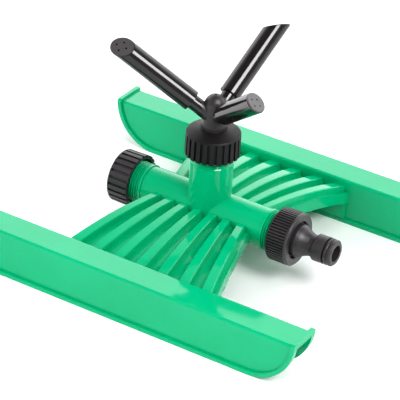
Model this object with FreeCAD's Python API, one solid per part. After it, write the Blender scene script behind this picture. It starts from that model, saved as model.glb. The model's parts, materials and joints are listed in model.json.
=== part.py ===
import FreeCAD, Part
import math
import os

# Three-arm rotary lawn sprinkler on a two-runner base. Millimetres.
# Origin on the floor under the riser, +X along the water pipe to the inlet, +Z up.

V = FreeCAD.Vector

# runners: channels, open underneath and at both ends
RAIL_HALF_LENGTH = 122.4
RAIL_OUTER_Y = 101.3
RAIL_WIDTH = 20.8
RAIL_HEIGHT = 30.0
RAIL_WALL = 2.0
RAIL_CORNER = 1.6
RUNNER_RADIUS = 31.0
BEAD_DEPTH = 2.6
BEAD_OUT = 1.6
LIP_RISE = 1.6
LIP_ROUND = 1.5
RAIL_INNER_Y = RAIL_OUTER_Y - RAIL_WIDTH

# hooks of the centre body that snap into slots of the runners
HOOK_X = (-36.0, 0.0, 36.0)
HOOK_HALF_WIDTH = 6.0
HOOK_Z = 10.0
HOOK_THICKNESS = 3.4
HOOK_REACH = 5.8
BARB_RISE = 1.2
BARB_LENGTH = 3.4
SLOT_GAP = 0.4

# water pipe and riser
PIPE_Z = 30.0
PIPE_R = 12.5
PIPE_BORE_R = 9.5
PIPE_HALF_LENGTH = 59.0
PIPE_THREAD_FROM = 45.1
RISER_R = 13.5
RISER_BORE_R = 10.0
RISER_FOOT_Z = 29.0
RISER_SHOULDER_Z = 65.0
RISER_TOP_Z = 80.0
THREAD_CREST_R = 13.2
THREAD_ROOT_R = 12.1
THREAD_PITCH = 1.814
THREAD_GAP = 0.15
THREAD_SHARES = (0.35, 0.55, 0.90)
SHOULDER_LENGTH = 1.6

# fan deck: seven crests that widen and fall from the pipe to the runner
CRESTS = 7
FAN_Y_PIPE = 13.0
FAN_Y_START = 7.0
FAN_PITCH_PIPE = 10.3
FAN_PITCH_RAIL = 16.0
CREST_WIDTH_PIPE = 5.3
CREST_WIDTH_RAIL = 7.1
CREST_RISE_PIPE = 4.4
CREST_RISE_RAIL = 4.2
CREST_EDGE = 0.5
CREST_DRAFT = 0.35
FAN_TOP_PIPE = 34.6
FAN_TOP_MID = 32.7
FAN_TOP_RAIL = 25.8
FAN_BORDER = 3.0
FAN_SHEET = 2.0
FAN_WALL = 1.5
FAN_HEM = 5.7
FAN_STATIONS = 6
PLATE_HALF_WIDTH = 54.0
PLATE_THICKNESS = 2.5
PLATE_BOTTOM_Z = 3.4

# caps and nut
CAP_R = 17.0
CAP_BACK_R = 17.2
CAP_RIBS = 24
CAP_RIB_GAP = 1.7
CAP_RIB_DEPTH = 1.4
CAP_RIM = 1.2
CAP_MOUTH_R = 14.9
CAP_MOUTH_DEPTH = 2.4
CAP_CHAMFER = 0.7
CAP_CROWN_R = 8.6
RISER_CAP_Z = (69.0, 84.0)
RISER_CAP_CROWN_Z = 86.3
END_CAP_X = (51.0, 65.8)
END_CAP_RECESS_R = 9.0
END_CAP_RECESS = 3.4
WASHER_THICKNESS = 1.8
WASHER_R = 13.0
RISER_WASHER_BORE_R = 10.4
PIPE_WASHER_BORE_R = 9.6
NUT_X = (50.2, 64.8)
NUT_R = 16.9
NUT_RIBS = 56
NUT_RIB_GAP = 1.0
NUT_RIB_DEPTH = 0.9
NUT_HOLE_R = 11.6
NUT_CHAMFER = 0.9
HOLE_CHAMFER = 0.8

# inlet spigot, outer radius along +X
SPIGOT_FLANGE_R = 12.9
SPIGOT_FLANGE = 2.0
SPIGOT_FLARE_R = 10.4
SPIGOT_FLARE_X = (66.2, 68.0, 69.0, 70.4, 72.0, 74.0)
SPIGOT_FLARE_STEP_R = (9.7, 9.2, 8.4, 7.7, 7.0)
SPIGOT_NECK_R = 6.9
SPIGOT_NECK_END_X = 76.6
SPIGOT_COLLAR_R = 8.5
SPIGOT_COLLAR_X = (77.8, 84.9)
SPIGOT_GROOVE_R = 6.2
SPIGOT_GROOVE_X = (85.3, 88.3)
SPIGOT_NOSE_R = 8.3
SPIGOT_NOSE_X = 89.9
SPIGOT_TIP_R = 7.4
SPIGOT_TIP_X = 90.8
SPIGOT_BORE_R = 5.2
SPIGOT_CUP_R = 9.0
SPIGOT_CUP_X = 67.0
SPIGOT_CONE_X = 74.0
O_RING_MINOR_R = 1.15

# rotor: hub, stem and three arm pipes in one moulding
BUSH_FLANGE_R = 8.0
BUSH_TOP_Z = 88.5
BUSH_BARREL_R = 6.95
BUSH_BOTTOM_Z = 78.0
BUSH_LIP_R = 7.4
BUSH_LIP_Z = (80.2, 81.5)
BUSH_BORE_R = 5.05
CAP_BORE_R = 7.0
HUB_BASE_Z = 88.6
HUB_BASE_R = 7.9
HUB_BASE_EDGE_Z = 89.7
HUB_WAIST_Z = 93.4
HUB_R = 6.75
HUB_DOME_Z = 102.5
HUB_GATE_R = 0.7
HUB_GATE_DEPTH = 0.4
STEM_R = 5.0
STEM_BOTTOM_Z = 72.0
STEM_BORE_R = 3.3
STEM_BORE_TOP_Z = 97.0
SEAL_Z = (81.4, 83.2)
SEAL_GROOVE_R = 3.95
SEAL_OUTER_R = 5.03
SEAL_EDGE = 0.25
THRUST_Z = (76.3, 77.9)
THRUST_R = 8.2
THRUST_BORE_R = 5.06
CLIP_Z = (75.1, 76.1)
CLIP_GROOVE_Z = (75.05, 76.15)
CLIP_GROOVE_R = 4.2
CLIP_BORE_R = 4.25
CLIP_R = 7.2
CLIP_GAP = 5.0

# arms: direction of each arm axis and what sits along it
ARM_AXIS_Z = 93.2
ARM_OFFSET = 0.8
ARM_ELEVATION = 35.0
ARM_AZIMUTHS = (203.2, 323.2, 83.2)
ARM_PIPE_R = 4.7
ARM_PIPE_BORE_R = 3.0
ARM_PIPE_END = 40.0
ARM_BEAD = (30.4, 32.4)
ARM_BEAD_R = 5.3
ARM_GROOVE = (24.0, 26.2)
ARM_GROOVE_R = 3.8
ARM_SEAL_R = 4.73
NOZZLE_START = 17.8
NOZZLE_NECK_END = 30.0
NOZZLE_NECK_BORE_R = 4.75
NOZZLE_R = 6.65
NOZZLE_BORE_R = 5.6
NOZZLE_TIP = 71.8
NOZZLE_TILT = 44.0
NOZZLE_TURN = 45.0
NOZZLE_FACE = 1.8
NOZZLE_EDGE = 0.7
NOZZLE_BLANK = 90.0
JET_R = 0.6
JET_DOWN = 3.8
JET_ACROSS = 3.0

OVERSHOOT = 1.0
TOLERANCE = 0.1


def box(x, y, z):
    return Part.makeBox(x[1] - x[0], y[1] - y[0], z[1] - z[0], V(x[0], y[0], z[0]))


def turned_z(points):
    """Solid of revolution about the Z axis from (radius, z) points."""
    ring = [V(r, 0, z) for r, z in points]
    face = Part.Face(Part.makePolygon(ring + ring[:1]))
    return face.revolve(V(0, 0, 0), V(0, 0, 1), 360)


def turned_x(points):
    """Solid of revolution about the pipe axis from (x, radius) points."""
    ring = [V(x, 0, PIPE_Z + r) for x, r in points]
    face = Part.Face(Part.makePolygon(ring + ring[:1]))
    return face.revolve(V(0, 0, PIPE_Z), V(1, 0, 0), 360)


def pipe_cylinder(x0, x1, radius):
    return Part.makeCylinder(radius, x1 - x0, V(x0, 0, PIPE_Z), V(1, 0, 0))


def mirrored_x(shape):
    return shape.mirror(V(0, 0, 0), V(1, 0, 0))


def mirrored_y(shape):
    return shape.mirror(V(0, 0, 0), V(0, 1, 0))


def thread_outline(start, end, gap):
    """(position, radius) points of ring threads from start to end, opened by gap."""
    root = THREAD_ROOT_R + gap
    crest = THREAD_CREST_R + gap
    rise_end, crest_end, fall_end = [share * THREAD_PITCH for share in THREAD_SHARES]
    points = []
    for ring in range(int((end - start) / THREAD_PITCH)):
        base = start + ring * THREAD_PITCH
        points += [(base, root), (base + rise_end, crest), (base + crest_end, crest), (base + fall_end, root)]
    points.append((end, root))
    return points


# ---------------------------------------------------------------- runners

def runner_outline(inset):
    """Face in the XZ plane: a plank with both lower corners swept up, inset all round."""
    half = RAIL_HALF_LENGTH - inset
    radius = RUNNER_RADIUS - inset
    top = RAIL_HEIGHT + LIP_RISE
    low = inset
    slant = radius * math.sqrt(0.5)
    centre_x = half - radius
    centre_z = low + radius
    right = Part.Arc(V(half, 0, centre_z), V(centre_x + slant, 0, centre_z - slant), V(centre_x, 0, low))
    left = Part.Arc(V(-centre_x, 0, low), V(-centre_x - slant, 0, centre_z - slant), V(-half, 0, centre_z))
    edges = [
        Part.makeLine(V(-half, 0, top), V(half, 0, top)),
        Part.makeLine(V(half, 0, top), V(half, 0, centre_z)),
        right.toShape(),
        Part.makeLine(V(centre_x, 0, low), V(-centre_x, 0, low)),
        left.toShape(),
        Part.makeLine(V(-half, 0, centre_z), V(-half, 0, top)),
    ]
    return Part.Face(Part.Wire(edges))


def channel(length):
    """Inverted channel along X with rounded top corners, outer face at +RAIL_OUTER_Y."""
    x = (-length, length)
    solid = box(x, (RAIL_INNER_Y, RAIL_OUTER_Y), (0, RAIL_HEIGHT))
    top_edges = []
    for edge in solid.Edges:
        centre = edge.CenterOfMass
        if abs(centre.x) < TOLERANCE and abs(centre.z - RAIL_HEIGHT) < TOLERANCE:
            top_edges.append(edge)
    solid = solid.makeFillet(RAIL_CORNER, top_edges)
    inside_y = (RAIL_INNER_Y + RAIL_WALL, RAIL_OUTER_Y - RAIL_WALL)
    inside = box((x[0] - OVERSHOOT, x[1] + OVERSHOOT), inside_y, (-OVERSHOOT, RAIL_HEIGHT - RAIL_WALL))
    return solid.cut(inside)


def runner_bead():
    """Rim standing out from both webs along their lower and end edges."""
    band = runner_outline(0).cut(runner_outline(BEAD_DEPTH))
    window = box((-RAIL_HALF_LENGTH, RAIL_HALF_LENGTH), (-OVERSHOOT, OVERSHOOT), (0, RAIL_HEIGHT))
    band = band.common(window)
    outer = band.extrude(V(0, BEAD_OUT + RAIL_WALL, 0))
    inner = outer.copy()
    outer.translate(V(0, RAIL_OUTER_Y - RAIL_WALL, 0))
    inner.translate(V(0, RAIL_INNER_Y - BEAD_OUT, 0))
    return [outer, inner]


def end_lip():
    """Upstand across the end of the flange."""
    x = (RAIL_HALF_LENGTH - BEAD_DEPTH, RAIL_HALF_LENGTH)
    y = (RAIL_INNER_Y - BEAD_OUT, RAIL_OUTER_Y + BEAD_OUT)
    z = (RAIL_HEIGHT - RAIL_WALL, RAIL_HEIGHT + LIP_RISE)
    lip = box(x, y, z)
    corners = []
    for edge in lip.Edges:
        centre = edge.CenterOfMass
        across = min(abs(centre.y - y[0]), abs(centre.y - y[1]))
        if across < TOLERANCE and abs(centre.z - z[1]) < TOLERANCE:
            corners.append(edge)
    return lip.makeFillet(LIP_ROUND, corners)


def hook_slots():
    slots = []
    for x in HOOK_X:
        wide = HOOK_HALF_WIDTH + SLOT_GAP
        z = (HOOK_Z - SLOT_GAP, HOOK_Z + HOOK_THICKNESS + BARB_RISE + SLOT_GAP)
        y = (RAIL_INNER_Y - OVERSHOOT, RAIL_INNER_Y + RAIL_WALL + OVERSHOOT)
        slots.append(box((x - wide, x + wide), y, z))
    return slots


def far_rail():
    outline = runner_outline(0)
    outline.translate(V(0, RAIL_INNER_Y - OVERSHOOT, 0))
    blank = outline.extrude(V(0, RAIL_WIDTH + 2 * OVERSHOOT, 0))
    body = channel(RAIL_HALF_LENGTH).common(blank)
    lip = end_lip()
    rail = body.multiFuse(runner_bead() + [lip, mirrored_x(lip)]).removeSplitter()
    return rail.cut(hook_slots())


# ------------------------------------------------------------ centre body

def blend(t, at_pipe, at_rail):
    return at_pipe + (at_rail - at_pipe) * t


def fan_share(y):
    """0 beside the pipe, 1 at the runner."""
    return (y - FAN_Y_PIPE) / (RAIL_INNER_Y - FAN_Y_PIPE)


def fan_top(t):
    """Crest height: a parabola through the pipe, middle and runner heights."""
    near = FAN_TOP_PIPE * (1 - t) * (1 - 2 * t)
    middle = FAN_TOP_MID * 4 * t * (1 - t)
    far = FAN_TOP_RAIL * t * (2 * t - 1)
    return near + middle + far


def crest_centres(t):
    pitch = blend(t, FAN_PITCH_PIPE, FAN_PITCH_RAIL)
    middle = (CRESTS - 1) / 2
    return [(crest - middle) * pitch for crest in range(CRESTS)]


def fan_upper_line(t):
    """Upper (x, z) line across the deck, left to right."""
    top = fan_top(t)
    floor = top - blend(t, CREST_RISE_PIPE, CREST_RISE_RAIL)
    half = blend(t, CREST_WIDTH_PIPE, CREST_WIDTH_RAIL) / 2
    centres = crest_centres(t)
    border = centres[-1] + half + FAN_BORDER
    line = [(-border, floor)]
    for x in centres:
        line.append((x - half - CREST_DRAFT, floor))
        line.append((x - half, top - CREST_EDGE))
        line.append((x - half + CREST_EDGE, top))
        line.append((x + half - CREST_EDGE, top))
        line.append((x + half, top - CREST_EDGE))
        line.append((x + half + CREST_DRAFT, floor))
    line.append((border, floor))
    return line


def fan_lower_line(t):
    """Lower (x, z) line across the deck, right to left, with a hem down each border."""
    top = fan_top(t) - FAN_SHEET
    floor = fan_top(t) - blend(t, CREST_RISE_PIPE, CREST_RISE_RAIL) - FAN_SHEET
    half = blend(t, CREST_WIDTH_PIPE, CREST_WIDTH_RAIL) / 2 - FAN_WALL
    centres = crest_centres(t)
    border = centres[-1] + half + FAN_WALL + FAN_BORDER
    line = [(border, floor - FAN_HEM), (border - FAN_WALL, floor - FAN_HEM), (border - FAN_WALL, floor)]
    for x in reversed(centres):
        line.append((x + half, floor))
        line.append((x + half, top))
        line.append((x - half, top))
        line.append((x - half, floor))
    line += [(FAN_WALL - border, floor), (FAN_WALL - border, floor - FAN_HEM), (-border, floor - FAN_HEM)]
    return line


def fan_section(y):
    t = fan_share(y)
    points = [V(x, y, z) for x, z in fan_upper_line(t) + fan_lower_line(t)]
    return Part.makePolygon(points + points[:1])


def fan_stations():
    step = (RAIL_INNER_Y - FAN_Y_START) / (FAN_STATIONS - 1)
    return [FAN_Y_START + step * station for station in range(FAN_STATIONS)]


def fan_deck():
    """Corrugated sheet between the pipe and the far runner."""
    wires = [fan_section(y) for y in fan_stations()]
    return Part.makeLoft(wires, True, False)


def end_plate():
    """Upright plate under the outer end of the deck, flat against the runner."""
    y = RAIL_INNER_Y - PLATE_THICKNESS
    floor = fan_top(1.0) - CREST_RISE_RAIL
    return box((-PLATE_HALF_WIDTH, PLATE_HALF_WIDTH), (y, RAIL_INNER_Y), (PLATE_BOTTOM_Z, floor - FAN_SHEET / 2))


def hooks():
    shapes = []
    for x in HOOK_X:
        wide = (x - HOOK_HALF_WIDTH, x + HOOK_HALF_WIDTH)
        tip = RAIL_INNER_Y + HOOK_REACH
        shapes.append(box(wide, (RAIL_INNER_Y - PLATE_THICKNESS, tip), (HOOK_Z, HOOK_Z + HOOK_THICKNESS)))
        barb_y = tip - BARB_LENGTH
        corner = V(wide[0], barb_y, HOOK_Z + HOOK_THICKNESS)
        low = V(wide[0], tip, HOOK_Z + HOOK_THICKNESS)
        high = V(wide[0], barb_y, HOOK_Z + HOOK_THICKNESS + BARB_RISE)
        barb = Part.Face(Part.makePolygon([corner, low, high, corner]))
        shapes.append(barb.extrude(V(2 * HOOK_HALF_WIDTH, 0, 0)))
    return shapes


def threaded_pipe():
    outline = [(0, 0), (0, PIPE_R), (PIPE_THREAD_FROM - SHOULDER_LENGTH, PIPE_R)]
    outline.append((PIPE_THREAD_FROM - SHOULDER_LENGTH, THREAD_CREST_R))
    outline.append((PIPE_THREAD_FROM, THREAD_CREST_R))
    outline += thread_outline(PIPE_THREAD_FROM, PIPE_HALF_LENGTH, 0)
    outline.append((PIPE_HALF_LENGTH, 0))
    half = turned_x(outline)
    return [half, mirrored_x(half)]


def threaded_riser():
    outline = [(0, RISER_FOOT_Z), (RISER_R, RISER_FOOT_Z), (RISER_R, RISER_SHOULDER_Z - SHOULDER_LENGTH)]
    thread = thread_outline(RISER_SHOULDER_Z, RISER_TOP_Z, 0)
    outline += [(r, z) for z, r in thread]
    outline.append((0, RISER_TOP_Z))
    return turned_z(outline)


def centre_body():
    """Pipe, riser and both fan decks, moulded in one piece."""
    side = [fan_deck(), end_plate()] + hooks()
    other_side = [mirrored_y(shape) for shape in side]
    pipes = threaded_pipe()
    solid = pipes[0].multiFuse(pipes[1:] + [threaded_riser()] + side + other_side)
    through = PIPE_HALF_LENGTH + OVERSHOOT
    pipe_bore = pipe_cylinder(-through, through, PIPE_BORE_R)
    riser_height = RISER_TOP_Z + OVERSHOOT - PIPE_Z
    riser_bore = Part.makeCylinder(RISER_BORE_R, riser_height, V(0, 0, PIPE_Z))
    return solid.cut([pipe_bore, riser_bore])


# ---------------------------------------------------- caps, nut and washers

def rib_gaps(count, gap, depth, low, high, radius):
    """Cutters that leave ribs round a cap whose axis is Z."""
    cutter = box((radius - depth, radius + OVERSHOOT), (-gap / 2, gap / 2), (low, high))
    cutters = []
    for index in range(count):
        copy = cutter.copy()
        copy.rotate(V(0, 0, 0), V(0, 0, 1), 360.0 * (index + 0.5) / count)
        cutters.append(copy)
    return cutters


def ribbed_cap(low, high, crown_z):
    """Ribbed outer form of a cap: mouth down at low, end rising from high at the rim to crown_z."""
    outline = [
        (0, low),
        (CAP_BACK_R, low),
        (CAP_R, high - CAP_CHAMFER),
        (CAP_R - CAP_CHAMFER, high),
        (CAP_CROWN_R, crown_z),
        (0, crown_z),
    ]
    cutters = rib_gaps(CAP_RIBS, CAP_RIB_GAP, CAP_RIB_DEPTH, low - OVERSHOOT, high - CAP_RIM, CAP_BACK_R)
    return turned_z(outline).cut(cutters)


def cap_hollow(low, thread_from, thread_end, seat):
    """Mouth, threads and washer seat of a cap whose mouth is at low, in step with its pipe."""
    mouth_end = low + CAP_MOUTH_DEPTH
    outline = [(0, low - OVERSHOOT), (CAP_MOUTH_R, low - OVERSHOOT), (CAP_MOUTH_R, mouth_end)]
    start = thread_from + math.ceil((mouth_end - thread_from) / THREAD_PITCH) * THREAD_PITCH
    outline += [(r, z) for z, r in thread_outline(start, thread_end, THREAD_GAP)]
    outline += [(WASHER_R + THREAD_GAP, thread_end), (WASHER_R + THREAD_GAP, seat), (0, seat)]
    return turned_z(outline)


def riser_cap():
    low, high = RISER_CAP_Z
    seat = RISER_TOP_Z + WASHER_THICKNESS
    bore_length = RISER_CAP_CROWN_Z - seat + 2 * OVERSHOOT
    bore = Part.makeCylinder(CAP_BORE_R, bore_length, V(0, 0, seat - OVERSHOOT))
    inside = cap_hollow(low, RISER_SHOULDER_Z, RISER_TOP_Z, seat)
    return ribbed_cap(low, high, RISER_CAP_CROWN_Z).cut([inside, bore])


def lay_along_pipe(shape, direction):
    """Turn a shape built about Z so that its +Z points along +X or -X on the pipe axis."""
    shape.rotate(V(0, 0, 0), V(0, 1, 0), 90 * direction)
    shape.translate(V(0, 0, PIPE_Z))
    return shape


def end_cap():
    low, high = END_CAP_X
    seat = PIPE_HALF_LENGTH + WASHER_THICKNESS
    recess = Part.makeCylinder(END_CAP_RECESS_R, END_CAP_RECESS + OVERSHOOT, V(0, 0, seat - OVERSHOOT))
    inside = cap_hollow(low, PIPE_THREAD_FROM, PIPE_HALF_LENGTH, seat)
    return lay_along_pipe(ribbed_cap(low, high, high).cut([inside, recess]), -1)


def inlet_nut():
    low, high = NUT_X
    seat = PIPE_HALF_LENGTH + WASHER_THICKNESS + SPIGOT_FLANGE
    outline = [
        (0, low),
        (NUT_R - NUT_CHAMFER, low),
        (NUT_R, low + NUT_CHAMFER),
        (NUT_R, high - NUT_CHAMFER),
        (NUT_R - NUT_CHAMFER, high),
        (0, high),
    ]
    cutters = rib_gaps(NUT_RIBS, NUT_RIB_GAP, NUT_RIB_DEPTH, low + NUT_CHAMFER, high - 2 * NUT_CHAMFER, NUT_R)
    hole = [
        (0, seat - OVERSHOOT),
        (NUT_HOLE_R, seat - OVERSHOOT),
        (NUT_HOLE_R, high - HOLE_CHAMFER),
        (NUT_HOLE_R + HOLE_CHAMFER + THREAD_GAP, high + THREAD_GAP),
        (0, high + THREAD_GAP),
    ]
    inside = cap_hollow(low, PIPE_THREAD_FROM, PIPE_HALF_LENGTH, seat)
    nut = turned_z(outline).cut(cutters + [inside, turned_z(hole)])
    return lay_along_pipe(nut, 1)


def flat_washer(low, inner_r):
    outline = [
        (inner_r, low),
        (WASHER_R, low),
        (WASHER_R, low + WASHER_THICKNESS),
        (inner_r, low + WASHER_THICKNESS),
    ]
    return turned_z(outline)


# ------------------------------------------------------------ inlet spigot

def inlet_spigot():
    back = PIPE_HALF_LENGTH + WASHER_THICKNESS
    flange_end = back + SPIGOT_FLANGE
    outline = [(back, 0), (back, SPIGOT_FLANGE_R), (flange_end, SPIGOT_FLANGE_R)]
    outline.append((flange_end, SPIGOT_FLARE_R))
    outline.append((SPIGOT_FLARE_X[0], SPIGOT_FLARE_R))
    outline += list(zip(SPIGOT_FLARE_X[1:], SPIGOT_FLARE_STEP_R))
    outline.append((SPIGOT_NECK_END_X, SPIGOT_NECK_R))
    outline += [(x, SPIGOT_COLLAR_R) for x in SPIGOT_COLLAR_X]
    outline += [(x, SPIGOT_GROOVE_R) for x in SPIGOT_GROOVE_X]
    outline.append((SPIGOT_GROOVE_X[1], SPIGOT_NOSE_R))
    outline += [(SPIGOT_NOSE_X, SPIGOT_NOSE_R), (SPIGOT_TIP_X, SPIGOT_TIP_R), (SPIGOT_TIP_X, 0)]
    passage = [
        (back - OVERSHOOT, 0),
        (back - OVERSHOOT, SPIGOT_CUP_R),
        (SPIGOT_CUP_X, SPIGOT_CUP_R),
        (SPIGOT_CONE_X, SPIGOT_BORE_R),
        (SPIGOT_TIP_X + OVERSHOOT, SPIGOT_BORE_R),
        (SPIGOT_TIP_X + OVERSHOOT, 0),
    ]
    return turned_x(outline).cut(turned_x(passage))


def spigot_o_ring():
    middle = (SPIGOT_GROOVE_X[0] + SPIGOT_GROOVE_X[1]) / 2
    return Part.makeTorus(SPIGOT_GROOVE_R + O_RING_MINOR_R, O_RING_MINOR_R, V(middle, 0, PIPE_Z), V(1, 0, 0))


# ------------------------------------------------------------------- rotor

def stem_bush():
    outline = [
        (BUSH_BORE_R, BUSH_BOTTOM_Z),
        (BUSH_BARREL_R, BUSH_BOTTOM_Z),
        (BUSH_BARREL_R, BUSH_LIP_Z[0]),
        (BUSH_LIP_R, BUSH_LIP_Z[1]),
        (BUSH_BARREL_R, BUSH_LIP_Z[1]),
        (BUSH_BARREL_R, RISER_CAP_CROWN_Z),
        (BUSH_FLANGE_R, RISER_CAP_CROWN_Z),
        (BUSH_FLANGE_R, BUSH_TOP_Z),
        (BUSH_BORE_R, BUSH_TOP_Z),
    ]
    return turned_z(outline)


def arm_axes(azimuth):
    """Unit vectors of an arm: along it, level and square to it, and square to both."""
    level = math.radians(azimuth)
    rise = math.radians(ARM_ELEVATION)
    along = V(math.cos(rise) * math.cos(level), math.cos(rise) * math.sin(level), math.sin(rise))
    side = V(-math.sin(level), math.cos(level), 0)
    return along, side, along.cross(side)


def arm_point(azimuth, distance):
    axes = arm_axes(azimuth)
    return V(0, 0, ARM_AXIS_Z) + axes[1] * ARM_OFFSET + axes[0] * distance


def arm_cylinder(azimuth, start, end, radius):
    along = arm_axes(azimuth)[0]
    return Part.makeCylinder(radius, end - start, arm_point(azimuth, start), along)


def hub_core():
    """Stem, waist and dome, solid."""
    outline = [
        (0, STEM_BOTTOM_Z),
        (STEM_R, STEM_BOTTOM_Z),
        (STEM_R, CLIP_GROOVE_Z[0]),
        (CLIP_GROOVE_R, CLIP_GROOVE_Z[0]),
        (CLIP_GROOVE_R, CLIP_GROOVE_Z[1]),
        (STEM_R, CLIP_GROOVE_Z[1]),
        (STEM_R, SEAL_Z[0]),
        (SEAL_GROOVE_R, SEAL_Z[0]),
        (SEAL_GROOVE_R, SEAL_Z[1]),
        (STEM_R, SEAL_Z[1]),
        (STEM_R, HUB_BASE_Z),
        (HUB_BASE_R, HUB_BASE_Z),
        (HUB_BASE_R, HUB_BASE_EDGE_Z),
        (HUB_R, HUB_WAIST_Z),
        (HUB_R, HUB_DOME_Z),
        (0, HUB_DOME_Z),
    ]
    return turned_z(outline).fuse(Part.makeSphere(HUB_R, V(0, 0, HUB_DOME_Z)))


def arm_pipe(azimuth):
    """Outer form of one arm pipe with its seal groove and retaining bead."""
    pipe = arm_cylinder(azimuth, 0, ARM_PIPE_END, ARM_PIPE_R)
    bead = arm_cylinder(azimuth, ARM_BEAD[0], ARM_BEAD[1], ARM_BEAD_R)
    groove = arm_cylinder(azimuth, ARM_GROOVE[0], ARM_GROOVE[1], ARM_PIPE_R + OVERSHOOT)
    core = arm_cylinder(azimuth, ARM_GROOVE[0], ARM_GROOVE[1], ARM_GROOVE_R)
    return pipe.fuse(bead).cut(groove.cut(core))


def rotor_hub():
    stem_height = STEM_BORE_TOP_Z - STEM_BOTTOM_Z + OVERSHOOT
    passages = [Part.makeCylinder(STEM_BORE_R, stem_height, V(0, 0, STEM_BOTTOM_Z - OVERSHOOT))]
    for azimuth in ARM_AZIMUTHS:
        passages.append(arm_cylinder(azimuth, 0, ARM_PIPE_END + OVERSHOOT, ARM_PIPE_BORE_R))
    gate_z = HUB_DOME_Z + HUB_R - HUB_GATE_DEPTH
    gate = Part.makeCylinder(HUB_GATE_R, 2 * HUB_GATE_DEPTH, V(0, 0, gate_z))
    solid = hub_core().multiFuse([arm_pipe(azimuth) for azimuth in ARM_AZIMUTHS])
    return solid.cut(passages + [gate])


def soft_ring(inner, outer, low, high):
    """Seal ring held in its groove: a square ring with softened corners."""
    edge = SEAL_EDGE
    outline = [
        (inner, low + edge),
        (inner + edge, low),
        (outer - edge, low),
        (outer, low + edge),
        (outer, high - edge),
        (outer - edge, high),
        (inner + edge, high),
        (inner, high - edge),
    ]
    return turned_z(outline)


def thrust_washer():
    low, high = THRUST_Z
    outline = [(THRUST_BORE_R, low), (THRUST_R, low), (THRUST_R, high), (THRUST_BORE_R, high)]
    return turned_z(outline)


def stem_clip():
    low, high = CLIP_Z
    ring = turned_z([(CLIP_BORE_R, low), (CLIP_R, low), (CLIP_R, high), (CLIP_BORE_R, high)])
    mouth = box((0, CLIP_R + OVERSHOOT), (-CLIP_GAP / 2, CLIP_GAP / 2), (low - OVERSHOOT, high + OVERSHOOT))
    return ring.cut(mouth)


def stand_along_arm(shape, azimuth):
    """Move a shape built about Z so that its Z runs along an arm from the hub."""
    turn = FreeCAD.Rotation(V(0, 0, 1), arm_axes(azimuth)[0])
    shape.Placement = FreeCAD.Placement(arm_point(azimuth, 0), turn)
    return shape


def arm_seal(azimuth):
    gap = ARM_SEAL_R - ARM_PIPE_R
    ring = soft_ring(ARM_GROOVE_R, ARM_SEAL_R, ARM_GROOVE[0] + gap, ARM_GROOVE[1] - gap)
    return stand_along_arm(ring, azimuth)


def face_axes(azimuth):
    """Outward normal of the slanted nozzle face and two directions in the face."""
    along, side, over = arm_axes(azimuth)
    tilt = math.radians(NOZZLE_TILT)
    turn = math.radians(NOZZLE_TURN)
    lean = side * math.cos(turn) + over * math.sin(turn)
    normal = along * math.cos(tilt) + lean * math.sin(tilt)
    down = along * math.sin(tilt) - lean * math.cos(tilt)
    return normal, down, normal.cross(down)


def beyond_face(azimuth, offset):
    """Large block on the outer side of the slanted face, shifted along its normal."""
    normal = face_axes(azimuth)[0]
    centre = arm_point(azimuth, NOZZLE_TIP) + normal * offset
    return Part.makeCylinder(NOZZLE_BLANK, NOZZLE_BLANK, centre, normal)


def slanted_edge(solid, azimuth):
    """The long oval edge of the slanted face."""
    centre = arm_point(azimuth, NOZZLE_TIP)
    return [edge for edge in solid.Edges if (edge.CenterOfMass - centre).Length < OVERSHOOT]


def nozzle_tube(azimuth):
    """Sleeve that turns on an arm pipe; its slanted end carries four jets."""
    outside = arm_cylinder(azimuth, NOZZLE_START, NOZZLE_BLANK, NOZZLE_R).cut(beyond_face(azimuth, 0))
    outside = outside.makeFillet(NOZZLE_EDGE, slanted_edge(outside, azimuth))
    inside = arm_cylinder(azimuth, NOZZLE_NECK_END, NOZZLE_BLANK, NOZZLE_BORE_R)
    inside = inside.cut(beyond_face(azimuth, -NOZZLE_FACE))
    neck = arm_cylinder(azimuth, NOZZLE_START - OVERSHOOT, NOZZLE_NECK_END + OVERSHOOT, NOZZLE_NECK_BORE_R)
    return outside.cut([inside, neck] + jets(azimuth))


def jets(azimuth):
    normal, down, across = face_axes(azimuth)
    centre = arm_point(azimuth, NOZZLE_TIP)
    shapes = []
    for offset in (down * JET_DOWN, across * JET_ACROSS):
        for sign in (-1, 1):
            start = centre + offset * sign - normal * (NOZZLE_FACE + OVERSHOOT)
            shapes.append(Part.makeCylinder(JET_R, NOZZLE_FACE + 2 * OVERSHOOT, start, normal))
    return shapes


# ------------------------------------------------------------------ output

def all_parts():
    far = far_rail()
    parts = {
        "centre_body": centre_body(),
        "rail_far": far,
        "rail_near": mirrored_y(far),
        "end_cap": end_cap(),
        "end_cap_washer": lay_along_pipe(flat_washer(PIPE_HALF_LENGTH, PIPE_WASHER_BORE_R), -1),
        "inlet_nut": inlet_nut(),
        "inlet_washer": lay_along_pipe(flat_washer(PIPE_HALF_LENGTH, PIPE_WASHER_BORE_R), 1),
        "inlet_spigot": inlet_spigot(),
        "spigot_o_ring": spigot_o_ring(),
        "riser_cap": riser_cap(),
        "riser_washer": flat_washer(RISER_TOP_Z, RISER_WASHER_BORE_R),
        "stem_bush": stem_bush(),
        "rotor_hub": rotor_hub(),
        "stem_seal": soft_ring(SEAL_GROOVE_R, SEAL_OUTER_R, SEAL_Z[0], SEAL_Z[1]),
        "thrust_washer": thrust_washer(),
        "stem_clip": stem_clip(),
    }
    for number, azimuth in enumerate(ARM_AZIMUTHS, 1):
        parts["nozzle_tube_%d" % number] = nozzle_tube(azimuth)
        parts["arm_seal_%d" % number] = arm_seal(azimuth)
    return parts


os.makedirs("parts", exist_ok=True)
for node, shape in all_parts().items():
    solids = shape.Solids
    if len(solids) != 1 or not shape.isValid():
        print("check", node, len(solids), shape.isValid())
    shape.exportStep("parts/%s.step" % node)
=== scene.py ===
import json
import math

import bpy
from mathutils import Matrix, Vector


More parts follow.
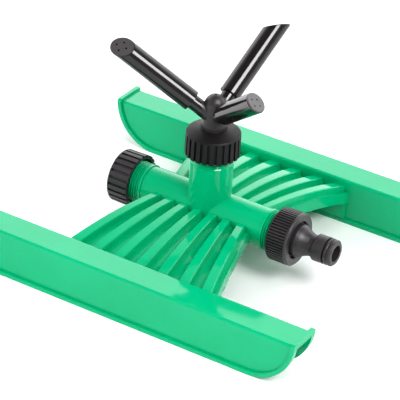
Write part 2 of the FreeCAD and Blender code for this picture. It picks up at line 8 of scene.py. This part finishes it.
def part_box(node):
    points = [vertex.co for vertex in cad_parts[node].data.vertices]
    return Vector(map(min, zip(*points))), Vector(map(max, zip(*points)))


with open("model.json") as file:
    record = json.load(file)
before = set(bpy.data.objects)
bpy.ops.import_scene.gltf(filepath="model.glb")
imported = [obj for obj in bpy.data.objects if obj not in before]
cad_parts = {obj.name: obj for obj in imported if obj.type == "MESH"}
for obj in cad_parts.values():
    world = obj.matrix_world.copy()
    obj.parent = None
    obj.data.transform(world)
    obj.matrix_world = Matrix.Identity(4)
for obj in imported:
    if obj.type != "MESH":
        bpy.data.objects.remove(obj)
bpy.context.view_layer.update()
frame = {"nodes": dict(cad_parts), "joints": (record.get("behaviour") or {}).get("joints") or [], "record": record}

MM = 0.001

# camera: looks at CAMERA_TARGET from an azimuth and elevation in degrees, rolled a little
CAMERA_AZIMUTH = 30.76
CAMERA_ELEVATION = 30.81
CAMERA_ROLL = 3.39
CAMERA_DISTANCE = 1473.0 * MM
CAMERA_TARGET = Vector((-5.2, -2.7, 34.3)) * MM
CAMERA_LENS = 213.8
CAMERA_CLIP = (0.05, 60)

# studio brightness by height, from the horizon (0) to straight up (1)
WORLD_STRENGTH = 4.0
WALL_DIRECTION = (-0.51, 0.86, 0.0)
WALL_FADE = (-0.25, 0.35)
WALL_LEVELS = (
    (0.0, 0.52), (0.34, 0.60), (0.47, 0.68), (0.545, 0.57), (0.70, 0.30), (0.88, 0.05),
)
FRONT_LEVELS = ((0.0, 0.14), (0.30, 0.12), (0.5, 0.09), (0.7, 0.05))

# lamps: name, place, point aimed at, size, power, and the kind of ray that misses the lamp
LAMPS = (
    ("key", (1.15, -0.42, 1.31), (0, 0, 0.05), (0.7, 0.7), 20, "visible_glossy"),
    ("key_shine", (0.96, -0.35, 1.10), (0, 0, 0.05), (0.7, 0.7), 24, "visible_diffuse"),
    ("top_fill", (0, 0, 2.5), (0, 0, 0), (1.6, 1.6), 11, "visible_glossy"),
    ("front_fill", (-1.1, -1.6, 0.9), (0, 0, 0), (2.0, 1.2), 24, "visible_glossy"),
)

FLOOR_HALF = 12.0
FLOOR_DROP = 0.05 * MM

# pairs of tones that a surface drifts between
GREENS = ((0.0, 0.385, 0.177), (0.0, 0.36, 0.163))
FACE_GREYS = ((0.038, 0.034, 0.037), (0.050, 0.045, 0.049))
# DEEP_BLACKS: the glossy tubes' black, and painted shade in the inlet nut's grooves and inside
DEEP_BLACKS = ((0.008, 0.0068, 0.0076), (0.012, 0.0105, 0.0115))
CAP_BLACKS = ((0.013, 0.0115, 0.0125), (0.018, 0.016, 0.0175))
HUB_BLACKS = ((0.024, 0.0215, 0.0235), (0.027, 0.0236, 0.0263))
SATIN_BLACKS = ((0.027, 0.0236, 0.0263), (0.036, 0.0322, 0.0355))
NUT_BLACKS = ((0.029, 0.0252, 0.0282), (0.043, 0.0380, 0.0420))
BUSH_BLACKS = ((0.010, 0.010, 0.010), (0.018, 0.017, 0.017))
WASHER_WHITES = ((0.80, 0.80, 0.77), (0.88, 0.88, 0.86))
RUBBER_BLACKS = ((0.022, 0.021, 0.022), (0.036, 0.034, 0.034))
STEEL_GREYS = ((0.50, 0.50, 0.52), (0.62, 0.62, 0.63))
FLOOR_WHITES = ((0.94, 0.94, 0.94), (0.96, 0.96, 0.96))

# moulded plastic: noise scales, bump depths in metres and the tubes' gloss
DRIFT_SCALE = 35
SHINE_SCALE = 160
WAVE_SCALE = 45
WAVE_DEPTH = 0.0006
GRAIN_SCALE = 2600
GRAIN_DEPTH = 0.00005
TUBE_GLOSS = (0.08, 0.15)
PLASTIC_IOR = 1.5

# where the masks of the two-finish pieces and of the inlet nut's painted groove shade begin and end
END_FACE_FADE = (0.5, 0.65)
HUB_SATIN_RADIUS = 8.6 * MM
HUB_SATIN_FADE = 0.8 * MM
CREST_FADE = (0.7 * MM, 0.35 * MM)
NUT_FACE_FADE = (0.7 * MM, 0.3 * MM)

# nozzle joints and the tube that each one turns
NOZZLES = {f"nozzle_{arm}_twist": f"nozzle_tube_{arm}" for arm in (1, 2, 3)}


# -------------------------------------------------------------------- nodes

def link(tree, source, socket):
    tree.links.new(source, socket)


def new_material(name):
    material = bpy.data.materials.new(name)
    material.use_nodes = True
    tree = material.node_tree
    tree.nodes.clear()
    output = tree.nodes.new("ShaderNodeOutputMaterial")
    shader = tree.nodes.new("ShaderNodeBsdfPrincipled")
    link(tree, shader.outputs["BSDF"], output.inputs["Surface"])
    place = tree.nodes.new("ShaderNodeTexCoord").outputs["Object"]
    return material, tree, shader, place


def noise(tree, place, scale, detail=3.0, rough=0.5):
    node = tree.nodes.new("ShaderNodeTexNoise")
    node.inputs["Scale"].default_value = scale
    node.inputs["Detail"].default_value = detail
    node.inputs["Roughness"].default_value = rough
    link(tree, place, node.inputs["Vector"])
    return node.outputs["Fac"]


def spread(tree, value, low, high, start=0.3, end=0.7):
    """Stretch the value's start..end over low..high."""
    node = tree.nodes.new("ShaderNodeMapRange")
    node.inputs["From Min"].default_value = start
    node.inputs["From Max"].default_value = end
    node.inputs["To Min"].default_value = low
    node.inputs["To Max"].default_value = high
    link(tree, value, node.inputs["Value"])
    return node.outputs["Result"]


def two_tone(tree, value, tones):
    node = tree.nodes.new("ShaderNodeMix")
    node.data_type = "RGBA"
    node.inputs["A"].default_value = (*tones[0], 1)
    node.inputs["B"].default_value = (*tones[1], 1)
    link(tree, value, node.inputs["Factor"])
    return node.outputs["Result"]


def mixed(tree, share, first, second, kind):
    """Blend two sockets; kind is RGBA for colours and FLOAT for values."""
    node = tree.nodes.new("ShaderNodeMix")
    node.data_type = kind
    link(tree, share, node.inputs["Factor"])
    link(tree, first, node.inputs["A"])
    link(tree, second, node.inputs["B"])
    return node.outputs["Result"]


def vector_math(tree, operation, source, constant=None):
    """Vector operation on a socket and, where given, a constant vector."""
    node = tree.nodes.new("ShaderNodeVectorMath")
    node.operation = operation
    link(tree, source, node.inputs[0])
    if constant is not None:
        node.inputs[1].default_value = constant
    scalar = operation in ("DOT_PRODUCT", "LENGTH")
    return node.outputs["Value" if scalar else "Vector"]


def separated(tree, source):
    node = tree.nodes.new("ShaderNodeSeparateXYZ")
    link(tree, source, node.inputs["Vector"])
    return node.outputs


def ramp(tree, value, stops):
    """Piecewise straight curve of brightness over a 0-1 value, as (position, level) stops."""
    node = tree.nodes.new("ShaderNodeValToRGB")
    band = node.color_ramp
    while len(band.elements) < len(stops):
        band.elements.new(0.5)
    for element, (place, level) in zip(band.elements, stops):
        element.position = place
        element.color = (level, level, level, 1)
    link(tree, value, node.inputs["Fac"])
    return node.outputs["Color"]


def bumps(tree, shader, layers):
    """Stack bump layers of (height, strength, distance) on the shader's normal."""
    normal = None
    for height, strength, distance in layers:
        node = tree.nodes.new("ShaderNodeBump")
        node.inputs["Strength"].default_value = strength
        node.inputs["Distance"].default_value = distance
        link(tree, height, node.inputs["Height"])
        if normal is not None:
            link(tree, normal, node.inputs["Normal"])
        normal = node.outputs["Normal"]
    link(tree, normal, shader.inputs["Normal"])


# ---------------------------------------------------------------- materials

def moulded_bumps(tree, shader, place, wave, grain):
    """Shallow sink waves under a fine grain."""
    bumps(tree, shader, [
        (noise(tree, place, WAVE_SCALE, 1), wave, WAVE_DEPTH),
        (noise(tree, place, GRAIN_SCALE, 2), grain, GRAIN_DEPTH),
    ])


def plastic(name, tones, gloss, wave, grain, ior=PLASTIC_IOR, specular=0.5):
    """Moulded plastic: slow colour drift, uneven gloss, shallow sink waves and a fine grain."""
    material, tree, shader, place = new_material(name)
    drift = spread(tree, noise(tree, place, DRIFT_SCALE, 2), 0, 1)
    shine = noise(tree, place, SHINE_SCALE, 4, 0.6)
    link(tree, two_tone(tree, drift, tones), shader.inputs["Base Color"])
    link(tree, spread(tree, shine, *gloss), shader.inputs["Roughness"])
    moulded_bumps(tree, shader, place, wave, grain)
    shader.inputs["IOR"].default_value = ior
    shader.inputs["Specular IOR Level"].default_value = specular
    return material


def end_face(axis):
    """Mask of the faces that look along the axis."""
    def mask(tree, place):
        normal = tree.nodes.new("ShaderNodeTexCoord").outputs["Normal"]
        facing = vector_math(tree, "DOT_PRODUCT", normal, axis)
        return spread(tree, facing, 0, 1, *END_FACE_FADE)
    return mask


def near_spin_axis(tree, place):
    """Mask of the hub's dome and column, without the arm pipes."""
    reach = vector_math(tree, "LENGTH", vector_math(tree, "MULTIPLY", place, (1, 1, 0)))
    inner = HUB_SATIN_RADIUS - HUB_SATIN_FADE
    outer = HUB_SATIN_RADIUS + HUB_SATIN_FADE
    return spread(tree, reach, 1, 0, inner, outer)


def outside_nut_painted_shade(tree, place):
    """Mask of the inlet nut's rib crests and end face; its grooves and its inside, where the mask is 0, get
    painted shade.
    """
    low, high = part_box("inlet_nut")
    outer = (high[2] - low[2]) / 2
    from_axis = vector_math(tree, "SUBTRACT", place, (0, 0, (low[2] + high[2]) / 2))
    reach = vector_math(tree, "LENGTH", vector_math(tree, "MULTIPLY", from_axis, (0, 1, 1)))
    along = separated(tree, place)["X"]
    crest = spread(tree, reach, 0, 1, outer - CREST_FADE[0], outer - CREST_FADE[1])
    face = spread(tree, along, 0, 1, high[0] - NUT_FACE_FADE[0], high[0] - NUT_FACE_FADE[1])
    either = tree.nodes.new("ShaderNodeMath")
    either.operation = "MAXIMUM"
    link(tree, crest, either.inputs[0])
    link(tree, face, either.inputs[1])
    return either.outputs["Value"]


def deep_and_satin(name, mask, satin_tones, satin_gloss, deep_gloss=TUBE_GLOSS):
    """Deep black plastic with a satin finish where the mask is 1; on the inlet nut the deep black is painted shade
    in the grooves and inside.
    """
    material, tree, shader, place = new_material(name)
    share = mask(tree, place)
    drift = spread(tree, noise(tree, place, DRIFT_SCALE, 2), 0, 1)
    shine = noise(tree, place, SHINE_SCALE, 4, 0.6)
    deep_tone = two_tone(tree, drift, DEEP_BLACKS)
    satin_tone = two_tone(tree, drift, satin_tones)
    tone = mixed(tree, share, deep_tone, satin_tone, "RGBA")
    link(tree, tone, shader.inputs["Base Color"])
    deep_rough = spread(tree, shine, *deep_gloss)
    satin_rough = spread(tree, shine, *satin_gloss)
    rough = mixed(tree, share, deep_rough, satin_rough, "FLOAT")
    link(tree, rough, shader.inputs["Roughness"])
    moulded_bumps(tree, shader, place, 0.05, 0.08)
    shader.inputs["IOR"].default_value = PLASTIC_IOR
    return material


def fine_grained(name, tones, tone_scale, gloss, gloss_scale, grain, metallic=0.0):
    """Even surface with a fine grain, given as (scale, detail, strength, depth)."""
    material, tree, shader, place = new_material(name)
    grain_scale, grain_detail, strength, depth = grain
    tone = spread(tree, noise(tree, place, tone_scale, 4), 0, 1)
    shine = noise(tree, place, gloss_scale, 3)
    link(tree, two_tone(tree, tone, tones), shader.inputs["Base Color"])
    link(tree, spread(tree, shine, *gloss), shader.inputs["Roughness"])
    bumps(tree, shader, [(noise(tree, place, grain_scale, grain_detail), strength, depth)])
    shader.inputs["Metallic"].default_value = metallic
    return material


def rubber(name):
    grain = (3500, 3, 0.25, 0.00008)
    return fine_grained(name, RUBBER_BLACKS, 400, (0.34, 0.50), 900, grain)


def steel(name):
    grain = (4000, 2, 0.15, 0.00003)
    return fine_grained(name, STEEL_GREYS, 700, (0.22, 0.38), 1200, grain, metallic=1.0)


def paint(node, material):
    for slot in frame["nodes"][node].material_slots:
        slot.material = material


def paint_part():
    finishes = {
        "green_plastic": plastic("green_plastic_look", GREENS, (0.04, 0.09), 0.05, 0.04, 1.39),
        "black_plastic": plastic("satin_black_look", SATIN_BLACKS, (0.38, 0.50), 0.05, 0.25),
        "seal_rubber": rubber("seal_rubber_look"),
        "dark_bush": plastic("dark_bush_look", BUSH_BLACKS, (0.3, 0.45), 0.04, 0.2),
        "white_washer": plastic("white_washer_look", WASHER_WHITES, (0.3, 0.45), 0.03, 0.1),
        "clip_steel": steel("clip_steel_look"),
    }
    for part in frame["record"]["subparts"]:
        paint(part["node"], finishes[part["material_slot"]])

    # black pieces whose finish differs from the plain satin black, and the inlet nut with painted shade in its
    # grooves and inside
    paint("riser_cap", plastic(
        "matt_black_look", CAP_BLACKS, (0.44, 0.56), 0.05, 0.3, specular=0.22))
    paint("rotor_hub", deep_and_satin("hub_look", near_spin_axis, HUB_BLACKS, (0.34, 0.46)))
    # inlet nut: the deep black is painted shade in the grooves between the ribs and inside; satin on the crests
    # and end face
    paint("inlet_nut", deep_and_satin(
        "nut_painted_groove_shade_look", outside_nut_painted_shade, NUT_BLACKS, (0.30, 0.42), deep_gloss=(0.55, 0.70)))
    for joint in frame["joints"]:
        if joint["name"] in NOZZLES:
            look = joint["name"] + "_look"
            face = end_face(joint["axis"])
            paint(NOZZLES[joint["name"]], deep_and_satin(look, face, FACE_GREYS, (0.30, 0.40)))


# ---------------------------------------------------------- floor and light

def floor():
    mesh = bpy.data.meshes.new("floor")
    corners = [
        (-FLOOR_HALF, -FLOOR_HALF, 0),
        (FLOOR_HALF, -FLOOR_HALF, 0),
        (FLOOR_HALF, FLOOR_HALF, 0),
        (-FLOOR_HALF, FLOOR_HALF, 0),
    ]
    mesh.from_pydata(corners, [], [(0, 1, 2, 3)])
    ground = bpy.data.objects.new("floor", mesh)
    bpy.context.scene.collection.objects.link(ground)
    ground.location.z = -FLOOR_DROP
    material, tree, shader, place = new_material("floor_paper")
    tone = spread(tree, noise(tree, place, 3, 2), 0, 1)
    link(tree, two_tone(tree, tone, FLOOR_WHITES), shader.inputs["Base Color"])
    shader.inputs["Roughness"].default_value = 0.9
    shader.inputs["Specular IOR Level"].default_value = 0.1
    mesh.materials.append(material)


def area_light(name, place, aim, size, power):
    data = bpy.data.lights.new(name, "AREA")
    data.shape = "RECTANGLE"
    data.size, data.size_y = size
    data.energy = power
    lamp = bpy.data.objects.new(name, data)
    lamp.location = place
    lamp.rotation_mode = "QUATERNION"
    lamp.rotation_quaternion = (Vector(aim) - Vector(place)).to_track_quat("-Z", "Y")
    bpy.context.scene.collection.objects.link(lamp)
    return lamp


def surroundings():
    """A bright wall behind the object, low down; dim walls in front and a dark ceiling."""
    world = bpy.data.worlds.new("studio")
    bpy.context.scene.world = world
    world.use_nodes = True
    tree = world.node_tree
    tree.nodes.clear()
    output = tree.nodes.new("ShaderNodeOutputWorld")
    background = tree.nodes.new("ShaderNodeBackground")
    direction = tree.nodes.new("ShaderNodeTexCoord").outputs["Generated"]
    height = separated(tree, direction)["Z"]
    behind = vector_math(tree, "DOT_PRODUCT", direction, WALL_DIRECTION)
    share = spread(tree, behind, 0, 1, *WALL_FADE)
    wall = ramp(tree, height, WALL_LEVELS)
    front = ramp(tree, height, FRONT_LEVELS)
    link(tree, mixed(tree, share, front, wall, "RGBA"), background.inputs["Color"])
    background.inputs["Strength"].default_value = WORLD_STRENGTH
    link(tree, background.outputs["Background"], output.inputs["Surface"])


def lights():
    surroundings()
    for name, place, aim, size, power, unseen_by in LAMPS:
        lamp = area_light(name, place, aim, size, power)
        setattr(lamp, unseen_by, False)


def camera():
    azimuth = math.radians(CAMERA_AZIMUTH)
    elevation = math.radians(CAMERA_ELEVATION)
    roll = math.radians(CAMERA_ROLL)
    back = Vector((
        math.sin(azimuth) * math.cos(elevation),
        -math.cos(azimuth) * math.cos(elevation),
        math.sin(elevation),
    ))
    level = Vector((math.cos(azimuth), math.sin(azimuth), 0))
    upright = back.cross(level)
    right = level * math.cos(roll) + upright * math.sin(roll)
    up = upright * math.cos(roll) - level * math.sin(roll)
    data = bpy.data.cameras.new("camera")
    data.lens = CAMERA_LENS
    data.clip_start, data.clip_end = CAMERA_CLIP
    eye = bpy.data.objects.new("camera", data)
    turn = Matrix((right, up, back)).transposed().to_4x4()
    eye.matrix_world = Matrix.Translation(CAMERA_TARGET + back * CAMERA_DISTANCE) @ turn
    bpy.context.scene.collection.objects.link(eye)
    bpy.context.scene.camera = eye


camera()
lights()
floor()
paint_part()
bpy.context.scene.view_settings.view_transform = "Standard"
bpy.context.scene.view_settings.look = "Medium High Contrast"
